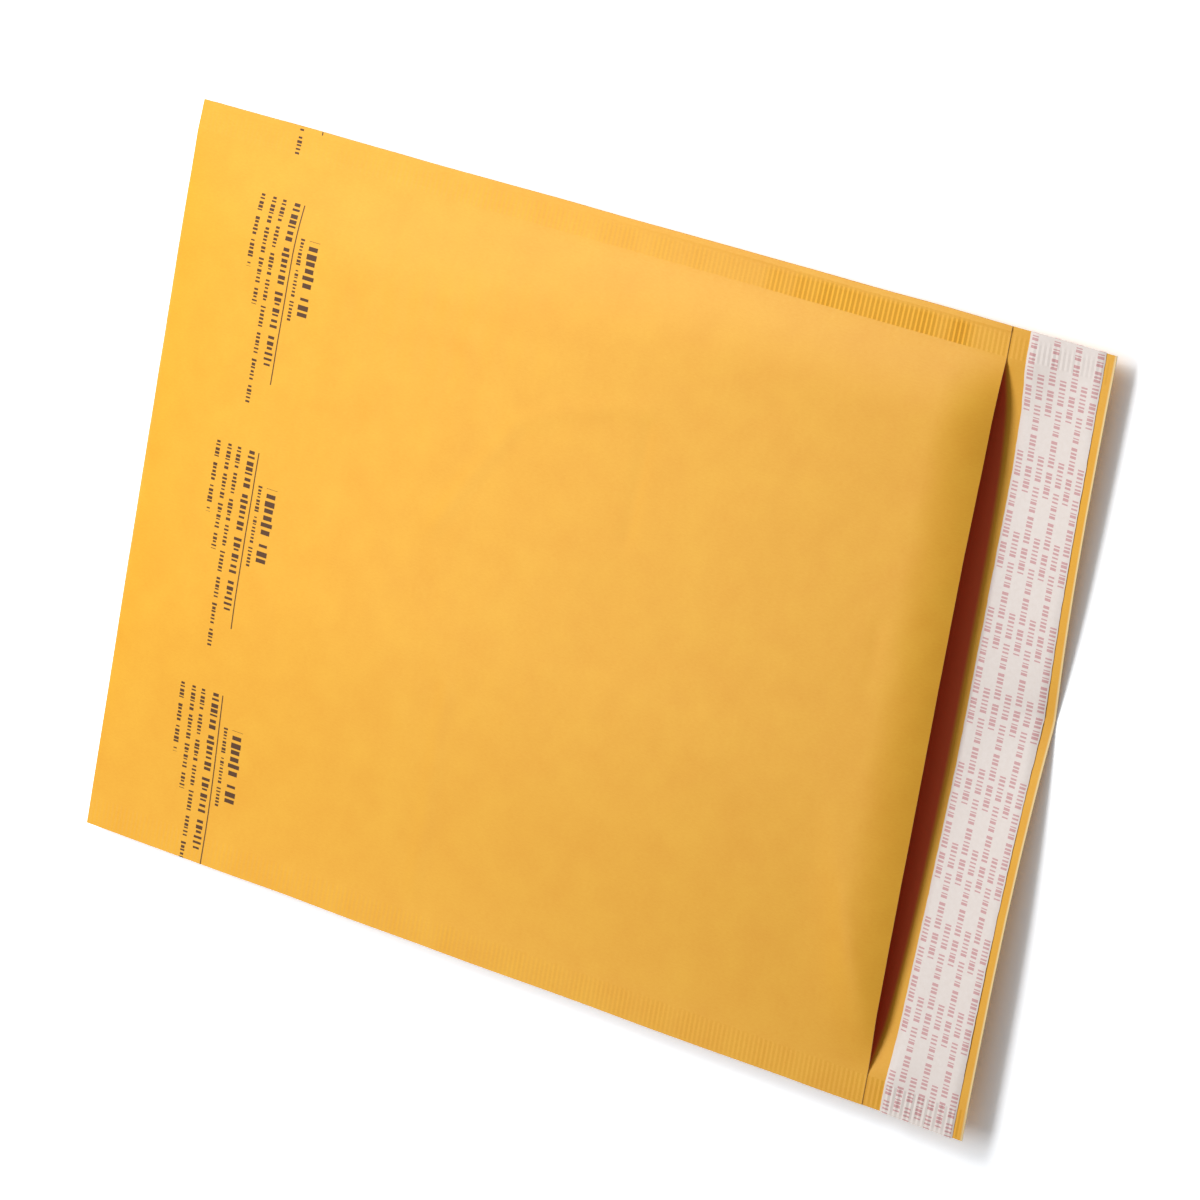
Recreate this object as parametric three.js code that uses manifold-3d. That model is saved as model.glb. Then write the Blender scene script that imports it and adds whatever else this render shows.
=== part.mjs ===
// A padded mailing envelope that lies open on its back panel. One kraft sheet is folded at the bottom and
// crimp-sealed along both sides. Air-cell film lines the pocket, and a release liner covers the glue on the flap.
// Millimetres, +Z up. X runs from the bottom fold to the flap, and Y across the width. The origin is on the
// resting plane, at the centre of the overall length and width.
import * as THREE from "three";
import { mergeVertices } from "three/addons/utils/BufferGeometryUtils.js";
import Module from "manifold-3d";

// Overall sizes
const envelopeWidth = 215.9;
const overallLength = 304.8;
const flapLength = 32.4;

// Kraft sheet
const paperThickness = 0.25;
const filmThickness = 0.05; // flat film bonded to the paper inside the pocket

// Crimped side seams
const seamWidth = 9;
const seamThickness = 0.8;
const seamHeight = 4.5; // the seams' mid-plane, above the resting plane
const crimpPitch = 1.5;
const crimpDepth = 0.35; // from ridge to valley
const crimpMargin = 3; // plain seam at the fold and at the mouth

// Padded form
const crownHeight = 11; // highest point of the front panel
const crownBulge = 1.2; // how far the panel's centre stands above its shoulders
const shoulderWidth = 22; // from a seam to the front panel's flatter middle
const backShoulderWidth = 16; // from a seam to the back panel's flat middle
const foldTaper = 120; // length over which the front panel climbs from the fold
const backFoldTaper = 40; // length over which the back panel comes down from the fold
const mouthTaper = 16; // length over which the unpadded front edge dips
const mouthHeight = 7.9; // the front edge's highest point
const flapCreaseOffset = 9; // the flap's crease, from the centre line
const flapBlendBefore = 20; // the back panel starts to turn into the creased flap this far before the mouth
const flapBlendAfter = 12; // and it has turned this far past the mouth

// Air-cell lining
const liningThickness = 2.4;
const liningSetback = 14; // from the mouth's edge to the lining's edge
const liningPinch = 0.1; // space left between the two layers where the seams press them together
const bondGap = 0.1; // clearance between bonded faces

// Self-seal strip
const linerWidth = 23.5;
const linerThickness = 0.15;
const linerEdgeGap = 3.2; // from the liner to the flap's edge
const adhesiveWidth = 19;
const adhesiveThickness = 0.2;

// Places that follow from the sizes
const halfWidth = envelopeWidth / 2;
const pocketHalf = halfWidth - seamWidth;
const foldX = -overallLength / 2;
const flapX = overallLength / 2;
const mouthX = flapX - flapLength;
const liningX = mouthX - liningSetback;
const linerEndX = flapX - linerEdgeGap;
const linerX = linerEndX - linerWidth;
const adhesiveX = linerX + (linerWidth - adhesiveWidth) / 2;
const seamTop = seamHeight + seamThickness / 2;
const seamBottom = seamHeight - seamThickness / 2;
const laminateThickness = paperThickness + filmThickness;
const cutOverrun = 2; // a cut runs this far out of the opening that it makes

const wasm = await Module();
wasm.setup();

// Lofting: a solid is a loop of rows of points, and neighbouring rows are joined by triangles.
// Each point knows how far along its row it is, so that rows with more points can meet rows with fewer.

const point = (along, x, y, z) => ({ along, position: new THREE.Vector3(x, y, z) });

function joinRows(rowA, startA, rowB, startB, triangles) {
  let a = 0;
  let b = 0;
  while (a < rowA.length - 1 || b < rowB.length - 1) {
    const aDone = a === rowA.length - 1;
    const bDone = b === rowB.length - 1;
    const skewIfA = aDone ? Infinity : Math.abs(rowA[a + 1].along - rowB[b].along);
    const skewIfB = bDone ? Infinity : Math.abs(rowB[b + 1].along - rowA[a].along);
    const aMoves = skewIfA <= skewIfB;
    const next = aMoves ? startA + a + 1 : startB + b + 1;
    triangles.push([startA + a, startB + b, next]);
    if (aMoves) a += 1;
    else b += 1;
  }
}

function loft(rows) {
  const positions = [];
  const starts = rows.map((row) => {
    const start = positions.length / 3;
    row.forEach((p) => positions.push(...p.position));
    return start;
  });
  const triangles = [];
  rows.forEach((row, n) => {
    const next = (n + 1) % rows.length;
    joinRows(row, starts[n], rows[next], starts[next], triangles);
  });
  const geometry = new THREE.BufferGeometry();
  geometry.setAttribute("position", new THREE.Float32BufferAttribute(positions, 3));
  geometry.setIndex(triangles.flat());
  return toSolid(mergeVertices(geometry));
}

function toSolid(geometry) {
  const corners = geometry.index.array;
  const triVerts = [];
  for (let i = 0; i < corners.length; i += 3) {
    const [a, b, c] = corners.slice(i, i + 3);
    if (a !== b && b !== c && c !== a) triVerts.push(a, b, c);
  }
  const vertProperties = geometry.attributes.position.array;
  return new wasm.Manifold(new wasm.Mesh({ numProp: 3, vertProperties, triVerts: new Uint32Array(triVerts) }));
}

function toGeometry(solid) {
  const mesh = solid.getMesh();
  const geometry = new THREE.BufferGeometry();
  geometry.setAttribute("position", new THREE.BufferAttribute(mesh.vertProperties, 3));
  geometry.setIndex(new THREE.BufferAttribute(mesh.triVerts, 1));
  geometry.computeVertexNormals();
  return geometry;
}

// Form of the padded body

const quarterEllipse = (share) => Math.sqrt(1 - (1 - Math.min(share, 1)) ** 2);
const shoulder = (y, width) => 1 - (1 - Math.min(Math.max(pocketHalf - Math.abs(y), 0) / width, 1)) ** 2;

function frontFace(x, y) {
  const climb = (crownHeight - seamTop) * quarterEllipse((x - foldX) / foldTaper);
  const dip = (crownHeight - mouthHeight) * Math.max((x - mouthX + mouthTaper) / mouthTaper, 0) ** 2;
  const bulge = crownBulge / (crownHeight - seamTop);
  const inside = Math.min(Math.abs(y) / pocketHalf, 1);
  const across = (1 - bulge) * shoulder(y, shoulderWidth) + bulge * (1 - inside ** 2);
  return seamTop + (climb - dip) * across;
}

function backFace(x, y) {
  const drop = seamBottom * quarterEllipse((x - foldX) / backFoldTaper) * shoulder(y, backShoulderWidth);
  const wing = y > flapCreaseOffset ? halfWidth - flapCreaseOffset : halfWidth + flapCreaseOffset;
  const creased = (seamBottom * Math.abs(y - flapCreaseOffset)) / wing;
  const turned = THREE.MathUtils.smoothstep(x, mouthX - flapBlendBefore, mouthX + flapBlendAfter);
  return THREE.MathUtils.lerp(seamBottom - drop, creased, turned);
}

const flapTop = (x, y) => backFace(x, y) + paperThickness;
const pocketFloor = (x, y) => backFace(x, y) + laminateThickness;
const pocketCeiling = (x, y) => frontFace(x, y) - laminateThickness;

// Stations: where the rows run, and where each row has its points

const shoulderShares = [0.07, 0.18, 0.36, 0.62, 1];
const middleShares = [0.36, 0.7];
const seamDistances = [
  ...shoulderShares.map((share) => share * shoulderWidth),
  ...middleShares.map((share) => shoulderWidth + share * (pocketHalf - shoulderWidth)),
];
const halfStations = seamDistances.map((distance) => pocketHalf - distance);
const acrossStations = [
  ...halfStations,
  flapCreaseOffset,
  0,
  ...halfStations.map((y) => -y).reverse(),
];

const foldAngles = [5, 12, 21, 33, 48, 67, 90];
const mouthShares = [0, 0.4, 0.7, 1];
const bodyRuns = 4;
const mouthStart = mouthX - mouthTaper;
const foldStations = foldAngles.map((degrees) => foldX + foldTaper * (1 - Math.cos((degrees * Math.PI) / 180)));
const foldEnd = foldX + foldTaper;
const bodyStations = Array.from(
  { length: bodyRuns - 1 },
  (_, n) => foldEnd + ((n + 1) / bodyRuns) * (mouthStart - foldEnd),
);
const mouthStations = mouthShares.map((share) => mouthStart + share * mouthTaper);
const panelStations = [...foldStations, ...bodyStations, ...mouthStations, liningX].sort((a, b) => a - b);
const flapStations = [linerX, adhesiveX, (linerX + linerEndX) / 2, adhesiveX + adhesiveWidth, linerEndX, flapX];

const crimpCount = Math.floor((mouthX - foldX - 2 * crimpMargin) / crimpPitch);
const crimpStart = (foldX + mouthX - crimpCount * crimpPitch) / 2;
const crimpLine = Array.from({ length: 2 * crimpCount + 1 }, (_, n) => ({
  x: crimpStart + (n * crimpPitch) / 2,
  lift: (n % 2 ? 0.5 : -0.5) * crimpDepth,
}));
const plainLine = panelStations.map((x) => ({ x, lift: 0 }));
const seamLine = [plainLine[0], ...crimpLine, plainLine[plainLine.length - 1]];
const crimpsPerBridge = 4; // the row beside a seam has one point for this many crimps
const bridgeLine = seamLine
  .filter((_, n) => n % (2 * crimpsPerBridge) === 0 || n === seamLine.length - 1)
  .map(({ x }) => ({ x, lift: 0 }));
const edgeDrop = 1; // share of a row's length given to the step at the mouth and at the flap's edge

// Kraft sheet: a pillow with crimped edges and a single-ply flap, hollowed from its mouth

function frontRow(y, line) {
  return [
    point(foldX, foldX, y, seamHeight),
    ...line.map(({ x, lift }) => point(x, x, y, frontFace(x, y) + lift)),
    ...[mouthX, ...flapStations].map((x) => point(x + edgeDrop, x, y, flapTop(x, y))),
    point(flapX + 2 * edgeDrop, flapX, y, backFace(flapX, y)),
  ];
}

function backRow(y, line) {
  return [
    point(foldX, foldX, y, seamHeight),
    ...line.map(({ x, lift }) => point(x, x, y, backFace(x, y) + lift)),
    ...flapStations.map((x) => point(x + edgeDrop, x, y, backFace(x, y))),
  ];
}

function kraftBlank() {
  const stations = [halfWidth, pocketHalf, ...acrossStations, -pocketHalf, -halfWidth];
  const lineAt = (y) => {
    if (Math.abs(y) >= pocketHalf) return seamLine;
    return Math.abs(y) === acrossStations[0] ? bridgeLine : plainLine;
  };
  const front = stations.map((y) => frontRow(y, lineAt(y)));
  const back = stations.map((y) => backRow(y, lineAt(y))).reverse();
  return loft([...front, ...back]);
}

// A cushion is the space between two faces that meet along its sides and at the fold
function cushion(sides, floor, ceiling, startX, stations, endX) {
  const edge = (y) => [startX, ...stations, endX].map((x) => point(x, x, y, seamHeight));
  const face = (height) => (y) => [
    point(startX, startX, y, seamHeight),
    ...stations.map((x) => point(x, x, y, height(x, y))),
    point(endX, endX, y, height(stations[stations.length - 1], y)),
    point(endX + edgeDrop, endX, y, seamHeight),
  ];
  const inner = sides.slice(1, -1);
  const closed = (row) => [...row, point(endX + edgeDrop, endX, row[0].position.y, seamHeight)];
  return loft([
    closed(edge(sides[0])),
    ...inner.map(face(ceiling)),
    closed(edge(sides[sides.length - 1])),
    ...inner.map(face(floor)).reverse(),
  ]);
}

function kraftSheet() {
  const sides = [pocketHalf, ...acrossStations, -pocketHalf];
  const [startX, ...stations] = panelStations;
  const pocket = cushion(sides, pocketFloor, pocketCeiling, startX, stations, mouthX + cutOverrun);
  return kraftBlank().subtract(pocket);
}

// Air-cell lining: the two layers are pinched at the seams and the fold, and part in the middle

function bubbleLining() {
  const [outerX, pinchX, ...rest] = panelStations.slice(1);
  const stations = rest.filter((x) => x < liningX);
  const floor = (x, y) => pocketFloor(x, y) + bondGap;
  const ceiling = (x, y) => pocketCeiling(x, y) - bondGap;
  const middle = (x, y) => (floor(x, y) + ceiling(x, y)) / 2;
  const parting = (x, y) => Math.max((ceiling(x, y) - floor(x, y)) / 2 - liningThickness, liningPinch / 2);
  const blank = cushion(acrossStations, floor, ceiling, outerX, [pinchX, ...stations, liningX], liningX);
  const space = cushion(
    acrossStations.slice(1, -1),
    (x, y) => middle(x, y) - parting(x, y),
    (x, y) => middle(x, y) + parting(x, y),
    pinchX,
    [...stations, liningX],
    liningX + cutOverrun,
  );
  return blank.subtract(space);
}

// Self-seal strip: flat bands that follow the flap from seam to seam

function flapBand(fromX, toX, lift, thickness) {
  const stations = [fromX, ...flapStations.filter((x) => x > fromX && x < toX), toX];
  const across = [halfWidth, pocketHalf, ...acrossStations, -pocketHalf, -halfWidth];
  const bottom = (y) => stations.map((x) => point(x, x, y, flapTop(x, y) + lift));
  const top = (y) => [
    bottom(y)[0],
    ...stations.map((x) => point(x, x, y, flapTop(x, y) + lift + thickness)),
    bottom(y)[stations.length - 1],
  ];
  return loft([...across.map(top), ...across.map(bottom).reverse()]);
}

const adhesiveStrip = () => flapBand(adhesiveX, adhesiveX + adhesiveWidth, bondGap, adhesiveThickness);
const releaseLiner = () => flapBand(linerX, linerEndX, 2 * bondGap + adhesiveThickness, linerThickness);

// Materials and assembly

const kraft = new THREE.MeshStandardMaterial({ color: 0xeeb552, roughness: 0.75, metalness: 0 });
const film = new THREE.MeshStandardMaterial({ color: 0xd9a45a, roughness: 0.3, metalness: 0 });
const glue = new THREE.MeshStandardMaterial({ color: 0xe8e2cf, roughness: 0.35, metalness: 0 });
const siliconePaper = new THREE.MeshStandardMaterial({ color: 0xece4de, roughness: 0.45, metalness: 0 });

const envelope = new THREE.Group();
function place(name, solid, material) {
  const mesh = new THREE.Mesh(toGeometry(solid), material);
  mesh.name = name;
  envelope.add(mesh);
}
place("kraft_sheet", kraftSheet(), kraft);
place("bubble_lining", bubbleLining(), film);
place("adhesive_strip", adhesiveStrip(), glue);
place("release_liner", releaseLiner(), siliconePaper);

export default envelope;
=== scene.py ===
import math

import bmesh
import bpy
from mathutils import Matrix, Vector, noise


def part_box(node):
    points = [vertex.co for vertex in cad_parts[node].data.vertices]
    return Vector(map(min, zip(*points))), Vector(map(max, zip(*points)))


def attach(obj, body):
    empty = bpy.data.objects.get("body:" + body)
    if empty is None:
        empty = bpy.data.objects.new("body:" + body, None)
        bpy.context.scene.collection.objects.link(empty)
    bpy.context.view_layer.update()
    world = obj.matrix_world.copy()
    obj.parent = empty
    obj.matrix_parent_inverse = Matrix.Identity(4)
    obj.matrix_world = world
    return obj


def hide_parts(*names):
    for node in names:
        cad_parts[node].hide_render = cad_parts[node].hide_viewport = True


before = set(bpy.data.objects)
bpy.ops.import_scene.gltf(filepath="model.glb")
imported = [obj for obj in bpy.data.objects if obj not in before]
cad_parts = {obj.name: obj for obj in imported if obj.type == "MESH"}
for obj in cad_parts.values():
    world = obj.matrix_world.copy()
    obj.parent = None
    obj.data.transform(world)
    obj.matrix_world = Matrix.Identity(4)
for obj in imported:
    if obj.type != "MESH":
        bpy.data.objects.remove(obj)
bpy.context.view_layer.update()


# Kraft sheet. One length of golden kraft paper runs from the end of the flap down the back panel, round the
# bottom fold and up the front panel to the mouth. It is ruled out flat, folded once, and sealed to itself
# along both sides between toothed jaws, which leave the crimp ridges.

MM = 0.001
sheet_low, sheet_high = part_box("kraft_sheet")
FOLD_X, FLAP_END_X = sheet_low.x, sheet_high.x
HALF_WIDTH = sheet_high.y
CROWN_HEIGHT = sheet_high.z
PAPER = 0.25 * MM
FILM = 0.05 * MM
FLAP_LENGTH = 32.4 * MM
MOUTH_X = FLAP_END_X - FLAP_LENGTH
BACK_LENGTH = FLAP_END_X - FOLD_X

SEAM_WIDTH = 9 * MM
SEAM_HEIGHT = 4.5 * MM
SEAM_THICKNESS = 0.8 * MM
LOWER_SEAM_RISE = 1.8 * MM
LOWER_SEAM_BLEND = 60 * MM
UPPER_SEAM_LEAN = 0.8 * MM
LEAN_BLEND = 30 * MM
SEAM_THINNING = 0.28 * MM
THINNING_LENGTH = 14 * MM
POCKET_HALF = HALF_WIDTH - SEAM_WIDTH
CRIMP_PITCH = 1.5 * MM
CRIMP_DEPTH = 0.35 * MM
STRIP_WIDTH = 1.4 * MM
STRIP_HEIGHT = 0.14 * MM

FOLD_TAPER = 120 * MM
BACK_FOLD_TAPER = 40 * MM
UPPER_SHOULDER = 22 * MM
SOFT_SHOULDER = 27.5 * MM
SOFT_OVERLAP = 4 * MM
SOFT_ENDS_X, SHARP_STARTS_X = FOLD_X + 60 * MM, FOLD_X + 210 * MM
LOWER_SHOULDER = 80 * MM
LOWER_MOUTH_SHOULDER = 18 * MM
LOWER_MOUTH_BLEND = 30 * MM
BACK_SHOULDER = 16 * MM
CROWN_BULGE = 0.185
MOUTH_TAPER = 16 * MM
MOUTH_HEIGHT = 7.45 * MM
MOUTH_UPPER_DROP = 1.05 * MM
MOUTH_LOWER_RISE = 0.2 * MM
FLAP_CREASE_Y = 8 * MM
FLAP_CREASE_START = 4 * MM
ROOT_BOW, WING_BOW = 1.3, 2.8
FLAP_BLEND_BEFORE, FLAP_BLEND_AFTER = 20 * MM, 12 * MM
SEAM_RUN_OUT = 22 * MM
CELL_PITCH = 10.5 * MM


def smooth(value, start, end):
    share = min(max((value - start) / (end - start), 0), 1)
    return share * share * (3 - 2 * share)


def quarter_ellipse(share):
    return math.sqrt(1 - (1 - min(share, 1)) ** 2)


def shoulder(y, width):
    return 1 - (1 - min(max(POCKET_HALF - abs(y), 0) / width, 1)) ** 2


def seam_height(x, y):
    """Middle of the sealed seams: the upper one leans outwards, and the lower one climbs from the fold."""
    rise = LOWER_SEAM_RISE * smooth(x, FOLD_X, 0) * smooth(-y, 0, LOWER_SEAM_BLEND)
    lean = UPPER_SEAM_LEAN * min(max((y - POCKET_HALF) / SEAM_WIDTH, 0), 1)
    return SEAM_HEIGHT + rise - lean * (1 - smooth(x, MOUTH_X - LEAN_BLEND, MOUTH_X))


def seam_thickness(x):
    return SEAM_THICKNESS - SEAM_THINNING * smooth(x, MOUTH_X - THINNING_LENGTH, MOUTH_X)


def front_shoulder(x, y):
    """Rise of the front panel from its seams: steep off the upper one, slow off the lower one."""
    if y > 0:
        sharp = smooth(x, SOFT_ENDS_X, SHARP_STARTS_X)
        soft = smooth(POCKET_HALF - y, -SOFT_OVERLAP, SOFT_SHOULDER)
        return soft + (shoulder(y, UPPER_SHOULDER) - soft) * sharp
    near_mouth = smooth(x, MOUTH_X - LOWER_MOUTH_BLEND, MOUTH_X)
    width = LOWER_SHOULDER + (LOWER_MOUTH_SHOULDER - LOWER_SHOULDER) * near_mouth
    return smooth(POCKET_HALF + y, 0, width)


def front_face(x, y):
    """Height of the front panel's outer face: it climbs from the fold and dips again to the mouth."""
    seam = seam_height(x, y) + seam_thickness(x) / 2
    climb = (CROWN_HEIGHT - seam) * quarter_ellipse((x - FOLD_X) / FOLD_TAPER)
    mouth = MOUTH_HEIGHT - MOUTH_UPPER_DROP * smooth(y, 40 * MM, 80 * MM)
    mouth += MOUTH_LOWER_RISE * smooth(-y, 0, 50 * MM)
    dip = (CROWN_HEIGHT - mouth) * max((x - MOUTH_X + MOUTH_TAPER) / MOUTH_TAPER, 0) ** 2
    inside = min(abs(y) / POCKET_HALF, 1)
    across = (1 - CROWN_BULGE) * front_shoulder(x, y) + CROWN_BULGE * (1 - inside ** 2)
    return seam + (climb - dip) * across


def flap_face(x, y):
    """Height of the flap's under face: level at the mouth but for its ends, and creased outwards."""
    out = abs(y - FLAP_CREASE_Y)
    if y > FLAP_CREASE_Y:
        wing, level, root_rise, end_rise = HALF_WIDTH - FLAP_CREASE_Y, 60 * MM, 4.1 * MM, 5.0 * MM
    else:
        wing, level, root_rise, end_rise = HALF_WIDTH + FLAP_CREASE_Y, 13 * MM, 5.9 * MM, 6.9 * MM
    root = root_rise * max((out - level) / (wing - level), 0) ** ROOT_BOW
    end = end_rise * (1 - max(1 - out / wing, 0) ** WING_BOW)
    turned = max((x - MOUTH_X - FLAP_CREASE_START) / (FLAP_LENGTH - FLAP_CREASE_START), 0) ** 2
    return root + (end - root) * turned


def back_face(x, y):
    """Height of the back panel's outer face, which lies on the table and turns into the flap."""
    flap = flap_face(x, y)
    seam = seam_height(x, y) - seam_thickness(x) / 2
    seam += (flap - seam) * smooth(x, MOUTH_X, MOUTH_X + SEAM_RUN_OUT)
    panel = flap * smooth(x, MOUTH_X - FLAP_BLEND_BEFORE, MOUTH_X + FLAP_BLEND_AFTER)
    off_fold = quarter_ellipse((x - FOLD_X) / BACK_FOLD_TAPER)
    return seam + (panel - seam) * off_fold * shoulder(y, BACK_SHOULDER)


def crimp(x, y):
    """Ridges that the toothed jaws leave in the seams and in the ends of the flap."""
    inset = HALF_WIDTH - abs(y)
    first, last = (2.2 * MM, 9.3 * MM) if y > 0 else (0.4 * MM, 8.7 * MM)
    bite = smooth(inset, first - 0.5 * MM, first + 0.5 * MM)
    bite *= 1 - smooth(inset, last - 0.9 * MM, last + 0.5 * MM)
    from_fold = x - FOLD_X
    firm = smooth(from_fold, 190 * MM, 210 * MM) * (1 - smooth(from_fold, 254 * MM, 268 * MM))
    if y > 0:
        firm = 0.06 + 0.16 * smooth(from_fold, 50 * MM, 110 * MM) + 0.56 * firm
    else:
        firm = 0.20 + 0.25 * smooth(x, MOUTH_X, MOUTH_X + 6 * MM)
    firm *= 1 + 0.7 * noise.noise(Vector((x, math.copysign(HALF_WIDTH, y), 0.9)) / (6 * MM))
    return CRIMP_DEPTH / 2 * bite * firm * math.cos(2 * math.pi * x / CRIMP_PITCH)


def edge_strip(x, y):
    """The film's trimmed edge: a flat strip outside the upper ridges that fades towards the fold."""
    inset = max(HALF_WIDTH - y, 0)
    stands = STRIP_HEIGHT * (0.15 + 0.85 * smooth(x - FOLD_X, 120 * MM, 210 * MM))
    return stands * min(inset / STRIP_WIDTH, 1) * (1 - smooth(inset, STRIP_WIDTH, 1.5 * STRIP_WIDTH))


# Handling creases, as points from the fold and from the upper edge, with height and spread.
CREASES = (
    (((118, 199), (120, 140)), 0.16, 2.2),
    (((108, 96), (115, 83), (130, 61), (142, 56), (160, 50), (171, 49)), 0.22, 2.2),
    (((171, 52), (170, 85)), -0.20, 2.2),
    (((253, 86), (253, 102)), -0.14, 1.8),
    (((261, 96), (270, 102)), 0.14, 1.8),
)


def crease_relief(x, y):
    here = Vector((x - FOLD_X, HALF_WIDTH - y)) / MM
    total = 0
    for points, height, spread in CREASES:
        nearest = 1e9
        for start, end in zip(points, points[1:]):
            start, run = Vector(start), Vector(end) - Vector(start)
            share = min(max((here - start).dot(run) / run.length_squared, 0), 1)
            nearest = min(nearest, (here - start - run * share).length)
        total += height * MM * math.exp(-(nearest / spread) ** 2)
    return total


def cell_print(x, y):
    """The lining's air cells, felt through the paper: one at each point of a hexagonal lattice, -0.5 to 1."""
    wave = 4 * math.pi / math.sqrt(3) / CELL_PITCH
    return sum(math.cos(wave * (x * math.cos(turn) + y * math.sin(turn)))
               for turn in (math.pi / 2, math.pi * 7 / 6, math.pi * 11 / 6)) / 3


def paper_relief(x, y, side):
    """Slow cockle of the paper, the cells behind it and the creases, faded out at the seams."""
    inside = front_shoulder(x, y)
    place = Vector((x, y, side * 0.4))
    cockle = 0.16 * MM * noise.noise(place / (34 * MM)) + 0.05 * MM * noise.noise(place / (11 * MM))
    pressed = 0.035 * MM * (1 + noise.noise(place / (50 * MM)))
    ripple = 0.05 * MM * math.cos(2 * math.pi * (x - FOLD_X) / (9 * MM))
    ripple *= math.exp(-((x - FOLD_X - 100 * MM) / (34 * MM)) ** 2 - ((y - 68 * MM) / (24 * MM)) ** 2)
    creased = shoulder(y, 6 * MM) * crease_relief(x, y)
    return inside * (cockle + pressed * cell_print(x, y)) + (side > 0) * (inside * ripple + creased)


# Stations ruled on the flat sheet: across it from the crimped edges inwards, and along it from the flap's
# end, closer together on the front and round the fold.
SEAM_ROWS = [inset * MM for inset in (0, 0.6, 1.4, 2.1, 2.8, 4.8, 6.8, 8.3, 9.6, 10.8)]
MIDDLE_ROWS = 88
ROUND_FOLD = [step * MM for step in (0.08, 0.24, 0.4)]
FOLD_NOSE = 0.4 * MM
BACK_STEP = 2 * CRIMP_PITCH
edge_rows = [HALF_WIDTH - inset for inset in SEAM_ROWS]
middle = [edge_rows[-1] * (2 * row / MIDDLE_ROWS - 1) for row in range(1, MIDDLE_ROWS)]
rows = [-y for y in edge_rows] + middle + edge_rows[::-1]
back_stations = [FLAP_END_X] + [n * BACK_STEP for n in range(50, -51, -1)] + [-101 * CRIMP_PITCH]
front_stations = [n * CRIMP_PITCH for n in range(-101, 81)]
columns = [FLAP_END_X - x for x in back_stations]
columns += [BACK_LENGTH - step for step in ROUND_FOLD[::-1]] + [BACK_LENGTH]
columns += [BACK_LENGTH + step for step in ROUND_FOLD]
columns += [BACK_LENGTH + x - FOLD_X for x in front_stations]

sheet_bm = bmesh.new()
bmesh.ops.create_grid(sheet_bm, x_segments=len(columns) - 1, y_segments=len(rows) - 1, size=0.5)
for vert in sheet_bm.verts:
    column = round((vert.co.x + 0.5) * (len(columns) - 1))
    row = round((vert.co.y + 0.5) * (len(rows) - 1))
    vert.co = (columns[column], rows[row], 0)

# The seams get two more stations to each ridge.
seam_line = POCKET_HALF - 1.2 * MM
for shortest, longest, cuts in ((2 * MM, 4 * MM, 3), (1 * MM, 2 * MM, 1)):
    ridge_edges = [edge for edge in sheet_bm.edges
                   if min(abs(vert.co.y) for vert in edge.verts) > seam_line
                   and shortest < abs(edge.verts[0].co.x - edge.verts[1].co.x) < longest]
    bmesh.ops.subdivide_edges(sheet_bm, edges=ridge_edges, cuts=cuts, use_grid_fill=True)

flat_map = sheet_bm.loops.layers.uv.new("sheet")
for face in sheet_bm.faces:
    face.smooth = min(abs(vert.co.y) for vert in face.verts) < POCKET_HALF + 0.5 * MM
    for loop in face.loops:
        loop[flat_map].uv = (loop.vert.co.x / MM, loop.vert.co.y / MM)

for vert in sheet_bm.verts:
    along, y = vert.co.x - BACK_LENGTH, vert.co.y
    x = FOLD_X + abs(along)
    front = along > 0
    if front:
        height = front_face(x, y) + paper_relief(x, y, 1) + edge_strip(x, y)
    else:
        height = back_face(x, y) + paper_relief(x, y, -1) / 2
    nose = seam_height(x, y)
    height = nose + (height - nose) * quarter_ellipse(abs(along) / FOLD_NOSE)
    wander = 0.18 * MM * noise.noise(Vector((x, y, 0.3)) / (26 * MM))
    wander *= smooth(abs(y), POCKET_HALF, HALF_WIDTH)
    vert.co = (x, y + wander, max(height + crimp(x, y), 0))


def linear(hex_colour):
    """An sRGB hex colour as the linear colour a shader takes."""
    parts = [int(hex_colour[at:at + 2], 16) / 255 for at in (1, 3, 5)]
    return [part / 12.92 if part <= 0.04045 else ((part + 0.055) / 1.055) ** 2.4 for part in parts] + [1]


def add(tree, kind, feeds=(), **settings):
    """One shader node with its settings; feeds gives each input a value or the socket that drives it."""
    made = tree.nodes.new(kind)
    for name, value in settings.items():
        setattr(made, name, value)
    for name, value in dict(feeds).items():
        if isinstance(value, bpy.types.NodeSocket):
            tree.links.new(value, made.inputs[name])
        else:
            made.inputs[name].default_value = value
    return made


def maths(tree, operation, *values):
    """The result of one sum, product or test of values and sockets."""
    return add(tree, "ShaderNodeMath", enumerate(values), operation=operation).outputs[0]


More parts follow.
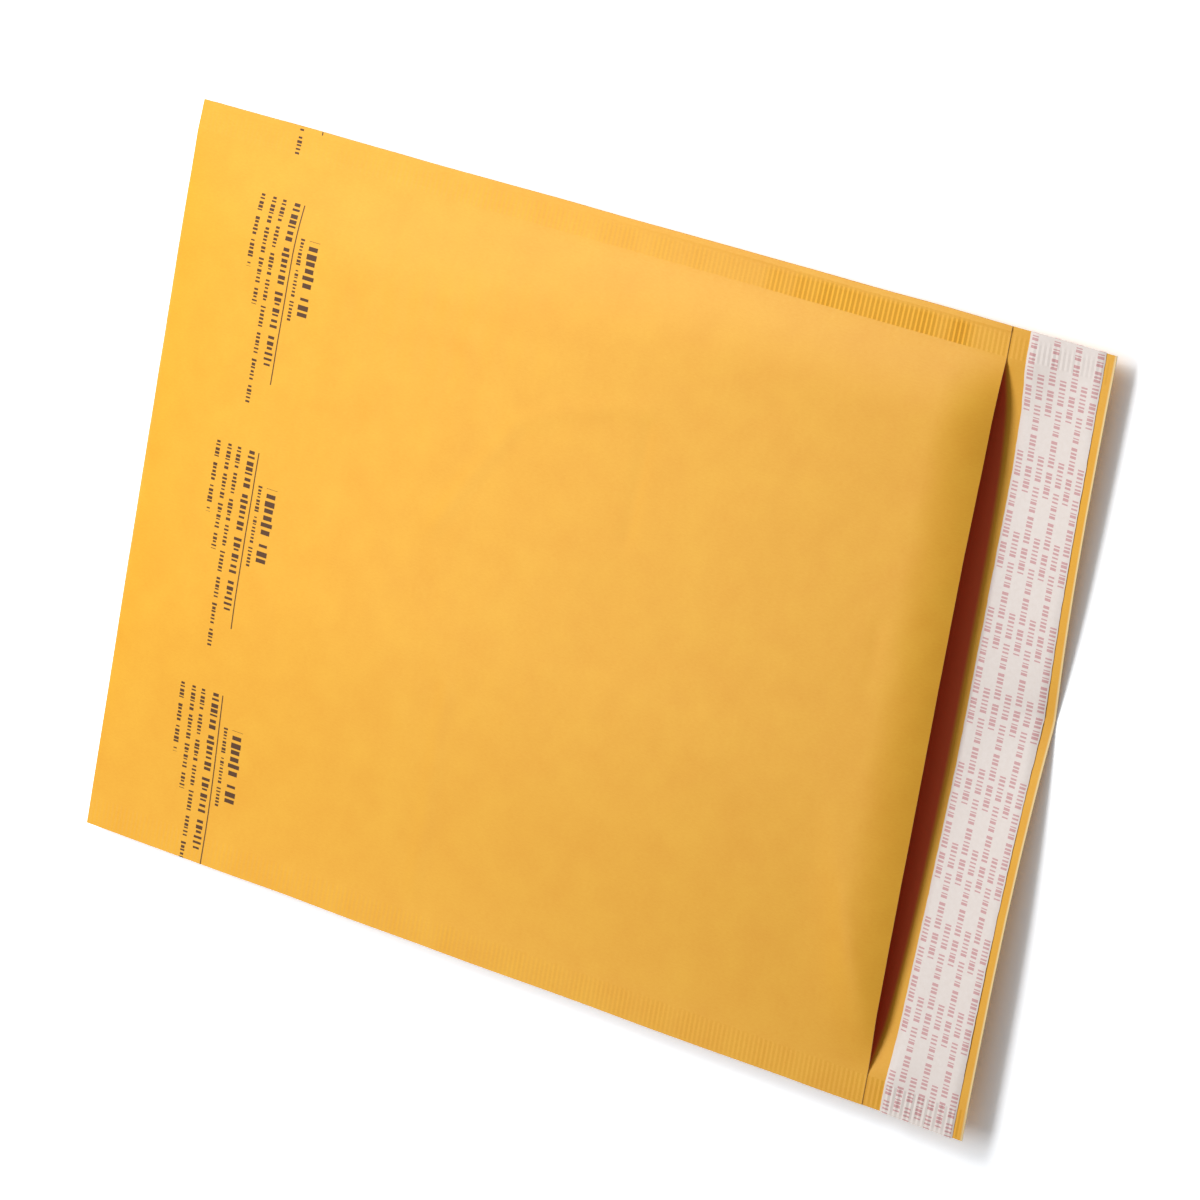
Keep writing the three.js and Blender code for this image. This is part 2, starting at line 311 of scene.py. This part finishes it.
def golden_kraft(name):
    """Golden kraft paper, calendered: short fibres lie along the sheet in a cloudy, slightly glossy body."""
    material = bpy.data.materials.new(name)
    material.use_nodes = True
    tree = material.node_tree
    flat = add(tree, "ShaderNodeUVMap", uv_map="sheet").outputs["UV"]
    grain = add(tree, "ShaderNodeMapping", {"Vector": flat, "Scale": (0.45, 1.4, 1)}).outputs[0]
    fibres = add(tree, "ShaderNodeTexNoise",
                 {"Vector": grain, "Scale": 1 / 0.6, "Detail": 5, "Roughness": 0.65})
    clouds = add(tree, "ShaderNodeTexNoise", {"Vector": flat, "Scale": 1 / 14, "Detail": 4, "Roughness": 0.6})
    body = maths(tree, "ADD", fibres.outputs[0], clouds.outputs[0])
    spread = add(tree, "ShaderNodeMapRange", {0: body, 1: 0.5, 2: 1.5, 3: 0, 4: 1})
    colour = add(tree, "ShaderNodeMix", {0: spread.outputs[0], 6: linear("#EEA624"), 7: linear("#F8BB34")},
                 data_type="RGBA").outputs[2]
    shine = add(tree, "ShaderNodeMapRange", {0: fibres.outputs[0], 1: 0.3, 2: 0.7, 3: 0.58, 4: 0.50})
    bump = add(tree, "ShaderNodeBump", {"Height": fibres.outputs[0], "Strength": 0.10, "Distance": 0.05 * MM})
    shader = tree.nodes["Principled BSDF"]
    shader.inputs["Specular IOR Level"].default_value = 0.5
    tree.links.new(colour, shader.inputs["Base Color"])
    tree.links.new(shine.outputs[0], shader.inputs["Roughness"])
    tree.links.new(bump.outputs[0], shader.inputs["Normal"])
    return material, tree, flat, colour, shader


# Outer face. Brown flexographic ink in repeating blocks beside the fold: plain bars, a rule and dashes,
# given as the middle from the fold, height, start, run, tick pitch and ticks to a group, in millimetres.
printed, tree, flat, paper_colour, shader = golden_kraft("golden_kraft_printed")
PRINT_REPEAT = 72
PRINT_ROWS = ((49.8, 4.4, 9, 22, 2.1, 12), (45.5, 1.6, 9, 24, 1.0, 9), (43.0, 0.4, 0, 52, 100, 0),
              (40.5, 3.0, 0, 47, 1.6, 8), (35.8, 1.9, 0, 59, 1.1, 7), (32.2, 1.9, 0, 31, 1.1, 8),
              (28.0, 1.9, 0, 21, 1.1, 6))
axes = add(tree, "ShaderNodeSeparateXYZ", {0: flat})
down = maths(tree, "SUBTRACT", axes.outputs[0], BACK_LENGTH / MM)
run = maths(tree, "SUBTRACT", HALF_WIDTH / MM - 21, axes.outputs[1])
run = maths(tree, "FLOORED_MODULO", run, PRINT_REPEAT)
ink = None
for centre, height, start, length, tick, word in PRINT_ROWS:
    on_run = maths(tree, "COMPARE", run, start + length / 2, length / 2)
    tall = height / 2
    if word:
        step = maths(tree, "DIVIDE", run, tick)
        part = maths(tree, "FRACT", step)
        count = maths(tree, "FLOOR", step)
        chance = add(tree, "ShaderNodeTexWhiteNoise", {"W": count}, noise_dimensions="1D")
        value = chance.outputs["Value"]
        width = add(tree, "ShaderNodeMapRange", {0: value, 1: 0, 2: 1, 3: 0.34, 4: 0.80}).outputs[0]
        solid = maths(tree, "LESS_THAN", part, width)
        place_in_word = maths(tree, "FLOORED_MODULO", count, word)
        not_gap = maths(tree, "LESS_THAN", place_in_word, word - 1.5)
        on_run = maths(tree, "MULTIPLY", on_run, solid)
        on_run = maths(tree, "MULTIPLY", on_run, not_gap)
        tint = add(tree, "ShaderNodeSeparateXYZ", {0: chance.outputs["Color"]}).outputs[1]
        tall = add(tree, "ShaderNodeMapRange", {0: tint, 1: 0, 2: 1, 3: 0.62 * tall, 4: tall}).outputs[0]
    on_row = maths(tree, "COMPARE", down, centre, tall)
    row = maths(tree, "MULTIPLY", on_row, on_run)
    ink = row if ink is None else maths(tree, "MAXIMUM", ink, row)
ink = maths(tree, "MULTIPLY", ink, 0.96)
inked = add(tree, "ShaderNodeMix", {0: ink, 6: paper_colour, 7: linear("#46220A")}, data_type="RGBA")
tree.links.new(inked.outputs[2], shader.inputs["Base Color"])

# Inner face. Bare on the flap and rubbed pale along its trimmed edge. Inside the pocket and a little past the
# mouth it carries painted shade: a deep orange red standing in for the shadowed gap under the mouth.
inner_kraft_with_painted_shade, tree, flat, paper_colour, shader = golden_kraft("golden_kraft_inner_painted_shade")
axes = add(tree, "ShaderNodeSeparateXYZ", {0: flat})
# Painted shade mask: its edge reaches furthest past the mouth in the middle, bowing like the front panel's
# shadow, and stops at the seams.
middle_share = maths(tree, "DIVIDE", axes.outputs[1], POCKET_HALF / MM)
middle_share = maths(tree, "ABSOLUTE", middle_share)
shadow_bow = maths(tree, "POWER", middle_share, 4)
reach = maths(tree, "MULTIPLY_ADD", shadow_bow, -3.6, axes.outputs[0])
edge = FLAP_LENGTH / MM - 2.9
painted_shade_mask = add(tree, "ShaderNodeMapRange", {0: reach, 1: edge - 0.8, 2: edge + 0.8, 3: 0, 4: 1},
                 interpolation_type="SMOOTHSTEP")
worn = add(tree, "ShaderNodeMapRange", {0: axes.outputs[0], 1: 0.3, 2: 0.8, 3: 0.8, 4: 0}).outputs[0]
bare = add(tree, "ShaderNodeMix", {0: worn, 6: paper_colour, 7: linear("#FBE3AE")}, data_type="RGBA")
off_seam = add(tree, "ShaderNodeMapRange", {0: middle_share, 1: 0.99, 2: 1.02, 3: 1, 4: 0}).outputs[0]
painted_shade_mask = maths(tree, "MULTIPLY", painted_shade_mask.outputs[0], off_seam)
# The painted shade: deep orange red laid over the bare kraft where the gap under the mouth is in shadow.
inner_colour_with_painted_shade = add(tree, "ShaderNodeMix", {0: painted_shade_mask, 6: bare.outputs[2], 7: linear("#F4683A")},
            data_type="RGBA")
tree.links.new(inner_colour_with_painted_shade.outputs[2], shader.inputs["Base Color"])

# Cut edge: the knife leaves it pale and matt.
cut_edge = bpy.data.materials.new("kraft_cut_edge")
cut_edge.use_nodes = True
tree = cut_edge.node_tree
place = add(tree, "ShaderNodeTexCoord").outputs["Object"]
fibre_ends = add(tree, "ShaderNodeTexNoise", {"Vector": place, "Scale": 1 / (1.2 * MM), "Detail": 3})
pale = add(tree, "ShaderNodeMix", {0: fibre_ends.outputs[0], 6: linear("#E9C381"), 7: linear("#FBEBC2")},
           data_type="RGBA")
tree.links.new(pale.outputs[2], tree.nodes["Principled BSDF"].inputs["Base Color"])
tree.nodes["Principled BSDF"].inputs["Roughness"].default_value = 0.85


def as_piece(name, bm, *materials):
    mesh = bpy.data.meshes.new(name)
    bm.to_mesh(mesh)
    bm.free()
    for material in materials:
        mesh.materials.append(material)
    piece = bpy.data.objects.new(name, mesh)
    bpy.context.scene.collection.objects.link(piece)
    return piece


def thickened(piece, thickness):
    """The sheet gets its thickness on the inner side, with its own inner and cut faces, and crisp edges."""
    wall = piece.modifiers.new("thickness", "SOLIDIFY")
    wall.thickness = thickness
    wall.offset = -1
    wall.material_offset = 1
    wall.material_offset_rim = 2
    bpy.context.view_layer.update()
    finished = bpy.data.meshes.new_from_object(piece.evaluated_get(bpy.context.evaluated_depsgraph_get()))
    piece.modifiers.clear()
    piece.data = finished
    finished.name = piece.name
    rounded = [face.use_smooth for face in finished.polygons]
    finished.set_sharp_from_angle(angle=math.radians(66))
    finished.polygons.foreach_set("use_smooth", rounded)
    return piece


kraft = thickened(as_piece("kraft_sheet_folded", sheet_bm, printed, inner_kraft_with_painted_shade, cut_edge), PAPER)
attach(kraft, "root")
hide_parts("kraft_sheet")


# Lining. Two webs of clear polyethylene film with a hexagonal field of sealed air cells, one bonded to each
# panel with the cells against the paper. They stop short of the mouth, and the seams pinch them flat.

LINING_SETBACK = 14 * MM
LINING_X = MOUTH_X - LINING_SETBACK
CELL_RADIUS = 4.7 * MM
CELL_HEIGHT = 2.25 * MM
CELL_SIDES = 10
BOND_GAP = 0.1 * MM
FILM_STEP = 3.5 * MM


def room(x, y):
    """How far the lining may stand off the paper: the full cell, less where the pocket closes on it."""
    clear = (front_face(x, y) - back_face(x, y) - 2 * PAPER - 4 * BOND_GAP) / 2
    return max(min(CELL_HEIGHT, clear * 0.92), 0.04 * MM)


def lining_height(x, y, off_paper, side):
    """Height of a point of the lining that stands off_paper, from 0 at the paper to 1 at the inner film."""
    reach = BOND_GAP + FILM + off_paper * room(x, y)
    return front_face(x, y) - PAPER - reach if side > 0 else back_face(x, y) + PAPER + reach


lining_bm = bmesh.new()
film_columns = round((LINING_X - FOLD_X) / FILM_STEP)
film_rows = round(2 * HALF_WIDTH / FILM_STEP)
cell_bm = bmesh.new()
cell_base = bmesh.ops.create_circle(cell_bm, cap_ends=True, segments=CELL_SIDES, radius=CELL_RADIUS)
crown = cell_bm.faces[:]
crown_verts = bmesh.ops.extrude_face_region(cell_bm, geom=crown)
crown = [item for item in crown_verts["geom"] if isinstance(item, bmesh.types.BMFace)]
bmesh.ops.translate(cell_bm, verts=list({v for face in crown for v in face.verts}), vec=(0, 0, 0.62))
bmesh.ops.inset_region(cell_bm, faces=crown, thickness=0.55 * MM)
bmesh.ops.translate(cell_bm, verts=list({v for face in crown for v in face.verts}), vec=(0, 0, 0.25))
bmesh.ops.inset_region(cell_bm, faces=crown, thickness=1.3 * MM)
bmesh.ops.translate(cell_bm, verts=list({v for face in crown for v in face.verts}), vec=(0, 0, 0.12))
for face in cell_bm.faces:
    face.smooth = True
cell_mesh = bpy.data.meshes.new("air_cell")
cell_bm.to_mesh(cell_mesh)
cell_bm.free()

for side in (1, -1):
    film_bm = bmesh.new()
    bmesh.ops.create_grid(film_bm, x_segments=film_columns, y_segments=film_rows, size=0.5)
    if side > 0:
        bmesh.ops.reverse_faces(film_bm, faces=film_bm.faces[:])
    for vert in film_bm.verts:
        x = FOLD_X + 1.2 * MM + (vert.co.x + 0.5) * (LINING_X - FOLD_X - 1.2 * MM)
        y = 2 * vert.co.y * (HALF_WIDTH - 0.4 * MM)
        vert.co = (x, y, lining_height(x, y, 1, side))
    for face in film_bm.faces:
        face.smooth = True
    bmesh.ops.solidify(film_bm, geom=film_bm.faces[:], thickness=-FILM * side)
    film_mesh = bpy.data.meshes.new("lining_film")
    film_bm.to_mesh(film_mesh)
    film_bm.free()
    lining_bm.from_mesh(film_mesh)
    bpy.data.meshes.remove(film_mesh)
    line_gap = CELL_PITCH * math.sqrt(3) / 2
    for line in range(-9, 10):
        for place_in_line in range(-15, 12):
            x = (place_in_line + 0.5 * (line % 2)) * CELL_PITCH
            y = line * line_gap
            if not (FOLD_X + 9 * MM < x < LINING_X - CELL_RADIUS and abs(y) < POCKET_HALF - CELL_RADIUS - MM):
                continue
            known = len(lining_bm.verts)
            lining_bm.from_mesh(cell_mesh)
            lining_bm.verts.ensure_lookup_table()
            for vert in lining_bm.verts[known:]:
                off_paper = 1 - vert.co.z
                at_x, at_y = x + vert.co.x, y + vert.co.y
                vert.co = (at_x, at_y, lining_height(at_x, at_y, off_paper, side))
bmesh.ops.recalc_face_normals(lining_bm, faces=lining_bm.faces[:])

# Clear polyethylene film: thin, slightly milky, and glossy enough to glint on the cells.
clear_film = bpy.data.materials.new("polyethylene_film")
clear_film.use_nodes = True
tree = clear_film.node_tree
place = add(tree, "ShaderNodeTexCoord").outputs["Object"]
haze = add(tree, "ShaderNodeTexNoise", {"Vector": place, "Scale": 1 / (6 * MM), "Detail": 3})
milk = add(tree, "ShaderNodeMapRange", {0: haze.outputs[0], 1: 0.3, 2: 0.7, 3: 0.32, 4: 0.46})
cloudy = add(tree, "ShaderNodeMix", {0: haze.outputs[0], 6: linear("#E6DCC8"), 7: linear("#F6F0E4")},
             data_type="RGBA")
shader = tree.nodes["Principled BSDF"]
tree.links.new(cloudy.outputs[2], shader.inputs["Base Color"])
tree.links.new(milk.outputs[0], shader.inputs["Alpha"])
shader.inputs["Roughness"].default_value = 0.22
shader.inputs["IOR"].default_value = 1.51

lining = as_piece("bubble_lining_webs", lining_bm, clear_film)
bpy.data.meshes.remove(cell_mesh)
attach(lining, "root")
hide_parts("bubble_lining")


# Adhesive. A band of hot-melt glue laid across the inside of the flap, clear amber and slightly lumpy, which
# the liner covers until the envelope is closed.

glue_low, glue_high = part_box("adhesive_strip")
GLUE_THICKNESS = 0.2 * MM
GLUE_GAP = 0.1 * MM
BAND_ROWS = 216


def flap_top(x, y):
    return back_face(x, y) + PAPER + crimp(x, y)


def band_on_flap(stations, half_width, rows, lift, relief, edges):
    """A band across the flap, ruled at stations, lift above the paper, with relief and wandering edges."""
    bm = bmesh.new()
    last = len(stations) - 1
    bmesh.ops.create_grid(bm, x_segments=last, y_segments=rows, size=0.5)
    flat_map = bm.loops.layers.uv.new("sheet")
    for vert in bm.verts:
        station = round((vert.co.x + 0.5) * last)
        x, y = stations[station], 2 * vert.co.y * half_width
        for loop in vert.link_loops:
            loop[flat_map].uv = ((x - stations[0]) / MM, y / MM)
        x += edges(x, y) if station in (0, last) else 0
        vert.co = (x, y, flap_top(x, y) + lift + relief(x, y))
    for face in bm.faces:
        face.smooth = min(abs(vert.co.y) for vert in face.verts) < POCKET_HALF + 0.5 * MM
    return bm


def glue_relief(x, y):
    return 0.03 * MM * noise.noise(Vector((x, y, 0.1)) / (3 * MM))


def glue_edges(x, y):
    return 0.5 * MM * noise.noise(Vector((x, y, 0.7)) / (9 * MM))


hot_melt = bpy.data.materials.new("hot_melt_adhesive")
hot_melt.use_nodes = True
tree = hot_melt.node_tree
place = add(tree, "ShaderNodeTexCoord").outputs["Object"]
streaks = add(tree, "ShaderNodeTexNoise", {"Vector": place, "Scale": 1 / (5 * MM), "Detail": 4})
amber = add(tree, "ShaderNodeMix", {0: streaks.outputs[0], 6: linear("#C98A2C"), 7: linear("#E6B757")},
            data_type="RGBA")
shader = tree.nodes["Principled BSDF"]
tree.links.new(amber.outputs[2], shader.inputs["Base Color"])
shader.inputs["Roughness"].default_value = 0.25

glue_stations = [glue_low.x + (glue_high.x - glue_low.x) * step / 10 for step in range(11)]
glue_bm = band_on_flap(glue_stations, HALF_WIDTH - 0.3 * MM, BAND_ROWS, GLUE_GAP + GLUE_THICKNESS,
                       glue_relief, glue_edges)
glue = thickened(as_piece("adhesive_band", glue_bm, hot_melt), GLUE_THICKNESS)
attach(glue, "root")
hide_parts("adhesive_strip")


# Release liner. A strip of white silicone-coated paper over the glue, slit from a roll and crimped at both
# ends with the rest, printed all over with rows of pink dashes.

liner_low, liner_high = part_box("release_liner")
LINER_THICKNESS = 0.08 * MM
LINER_LIFT = 0.4 * MM
LINER_HALF_WIDTH = HALF_WIDTH + 0.2 * MM


def liner_relief(x, y):
    """The strip is slack over the glue and sinks to the paper along both slit edges."""
    slack = 0.09 * MM * (1 + noise.noise(Vector((x * 0.5, y, 0.2)) / (14 * MM)))
    edge = max(1 - min(x - liner_low.x, liner_high.x - x) / (2.2 * MM), 0)
    return slack * shoulder(y, UPPER_SHOULDER) - 0.36 * MM * edge ** 1.5


def liner_edges(x, y):
    return 0.13 * MM * noise.noise(Vector((x, y, 0.5)) / (2.4 * MM))


silicone_paper = bpy.data.materials.new("silicone_release_paper")
silicone_paper.use_nodes = True
tree = silicone_paper.node_tree
flat = add(tree, "ShaderNodeUVMap", uv_map="sheet").outputs["UV"]
ROW_GAP = 3.4
RUN_REPEAT = 43
RUN_LENGTH = 33
TICK = 1.05
pulp = add(tree, "ShaderNodeTexNoise", {"Vector": flat, "Scale": 1 / 1.5, "Detail": 5, "Roughness": 0.7})
blank = add(tree, "ShaderNodeMix", {0: pulp.outputs[0], 6: linear("#EADCD3"), 7: linear("#F9F0EB")},
            data_type="RGBA")
axes = add(tree, "ShaderNodeSeparateXYZ", {0: flat})
line = maths(tree, "DIVIDE", axes.outputs[0], ROW_GAP)
number = maths(tree, "FLOOR", line)
within = maths(tree, "FRACT", line)
on_line = maths(tree, "COMPARE", within, 0.5, 0.29)
odd = maths(tree, "MULTIPLY_ADD", number, RUN_REPEAT / 2, axes.outputs[1])
run = maths(tree, "FLOORED_MODULO", odd, RUN_REPEAT)
on_run = maths(tree, "LESS_THAN", run, RUN_LENGTH)
tick = maths(tree, "DIVIDE", run, TICK)
tick_number = maths(tree, "FLOOR", tick)
tick_part = maths(tree, "FRACT", tick)
chance = add(tree, "ShaderNodeTexWhiteNoise", {"W": tick_number}, noise_dimensions="1D").outputs["Value"]
stroke = add(tree, "ShaderNodeMapRange", {0: chance, 1: 0, 2: 1, 3: 0.30, 4: 0.80}).outputs[0]
solid = maths(tree, "LESS_THAN", tick_part, stroke)
word_gap = maths(tree, "FLOORED_MODULO", tick_number, 8)
word = maths(tree, "GREATER_THAN", word_gap, 0.5)
ink = maths(tree, "MULTIPLY", on_line, on_run)
ink = maths(tree, "MULTIPLY", ink, solid)
ink = maths(tree, "MULTIPLY", ink, word)
ink = maths(tree, "MULTIPLY", ink, 0.72)
pink = add(tree, "ShaderNodeMix", {0: ink, 6: blank.outputs[2], 7: linear("#CF7F86")}, data_type="RGBA")
fuzz = add(tree, "ShaderNodeBump", {"Height": pulp.outputs[0], "Strength": 0.2, "Distance": 0.04 * MM})
shader = tree.nodes["Principled BSDF"]
tree.links.new(pink.outputs[2], shader.inputs["Base Color"])
tree.links.new(fuzz.outputs[0], shader.inputs["Normal"])
shader.inputs["Roughness"].default_value = 0.42

liner_stations = [liner_low.x] + [n * CRIMP_PITCH / 2 for n in range(168, 199)] + [liner_high.x]
liner_bm = band_on_flap(liner_stations, LINER_HALF_WIDTH, BAND_ROWS, LINER_LIFT + LINER_THICKNESS,
                        liner_relief, liner_edges)
liner = thickened(as_piece("release_liner_strip", liner_bm, silicone_paper), LINER_THICKNESS)
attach(liner, "root")
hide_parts("release_liner")


# Floor, light and camera. A white studio table, a strip light above the fold end, a window beyond the upper
# edge and even white fill from all round. The camera stands well back with a long lens.

FLOOR_DROP = 0.05 * MM
floor_bm = bmesh.new()
bmesh.ops.create_grid(floor_bm, x_segments=1, y_segments=1, size=6)
bmesh.ops.translate(floor_bm, verts=floor_bm.verts[:], vec=(0, 0, -FLOOR_DROP))
white_table = bpy.data.materials.new("white_studio_table")
white_table.use_nodes = True
tree = white_table.node_tree
tree.nodes.clear()
rays = add(tree, "ShaderNodeLightPath").outputs
seen = maths(tree, "MAXIMUM", rays["Is Camera Ray"], rays["Is Glossy Ray"])
seen = maths(tree, "MAXIMUM", seen, rays["Is Transmission Ray"])
white = add(tree, "ShaderNodeMix", {0: seen, 6: linear("#E8E8E8"), 7: (1.58, 1.62, 1.67, 1)},
            data_type="RGBA")
matt = add(tree, "ShaderNodeBsdfDiffuse", {"Color": white.outputs[2]})
add(tree, "ShaderNodeOutputMaterial", {"Surface": matt.outputs[0]})
floor = as_piece("floor", floor_bm, white_table)

world = bpy.data.worlds.new("white_room")
bpy.context.scene.world = world
world.use_nodes = True
tree = world.node_tree
tree.nodes.clear()
rays = add(tree, "ShaderNodeLightPath").outputs
seen = maths(tree, "MAXIMUM", rays["Is Camera Ray"], rays["Is Transmission Ray"])
FILL = 0.32
level = add(tree, "ShaderNodeMapRange", {0: seen, 1: 0, 2: 1, 3: FILL, 4: 1})
room_light = add(tree, "ShaderNodeBackground", {"Strength": level.outputs[0]})
add(tree, "ShaderNodeOutputWorld", {"Surface": room_light.outputs[0]})


def aimed(place, target):
    """The turn that points a lamp's or camera's -Z from place at target."""
    return (Vector(target) - Vector(place)).to_track_quat("-Z", "Y").to_matrix().to_4x4()


# Name, place, target, width, height and power of each lamp.
LAMPS = (
    ("strip_light", (-0.24, 0.05, 0.48), (-0.04, 0.05, 0), 0.80, 0.20, 2.05),
    ("window", (-0.40, 0.60, 0.62), (0, 0, 0), 0.50, 0.50, 4.0),
)
for name, place, target, width, height, power in LAMPS:
    lamp = bpy.data.lights.new(name, "AREA")
    lamp.shape = "RECTANGLE"
    lamp.size, lamp.size_y = width, height
    lamp.energy = power
    holder = bpy.data.objects.new(name, lamp)
    holder.matrix_world = Matrix.Translation(place) @ aimed(place, target)
    bpy.context.scene.collection.objects.link(holder)

VIEW_TARGET = Vector((8.354, 3.006, 4.0)) * MM
VIEW_AZIMUTH, VIEW_ELEVATION, VIEW_ROLL = (math.radians(angle) for angle in (22.4233, 55.7309, 261.2219))
VIEW_DISTANCE = 1736.9 * MM
back = Vector((math.cos(VIEW_ELEVATION) * math.cos(VIEW_AZIMUTH),
               math.cos(VIEW_ELEVATION) * math.sin(VIEW_AZIMUTH), math.sin(VIEW_ELEVATION)))
level_right = (-back).cross(Vector((0, 0, 1))).normalized()
level_up = level_right.cross(-back)
right = math.cos(VIEW_ROLL) * level_right + math.sin(VIEW_ROLL) * level_up
up = math.cos(VIEW_ROLL) * level_up - math.sin(VIEW_ROLL) * level_right
lens = bpy.data.cameras.new("camera")
lens.sensor_width = 36
lens.lens = 189.29
lens.clip_start, lens.clip_end = 0.05, 20
camera = bpy.data.objects.new("camera", lens)
turn = Matrix((right, up, back)).transposed().to_4x4()
camera.matrix_world = Matrix.Translation(VIEW_TARGET + back * VIEW_DISTANCE) @ turn
bpy.context.scene.collection.objects.link(camera)
bpy.context.scene.camera = camera
bpy.context.scene.view_settings.view_transform = "Standard"
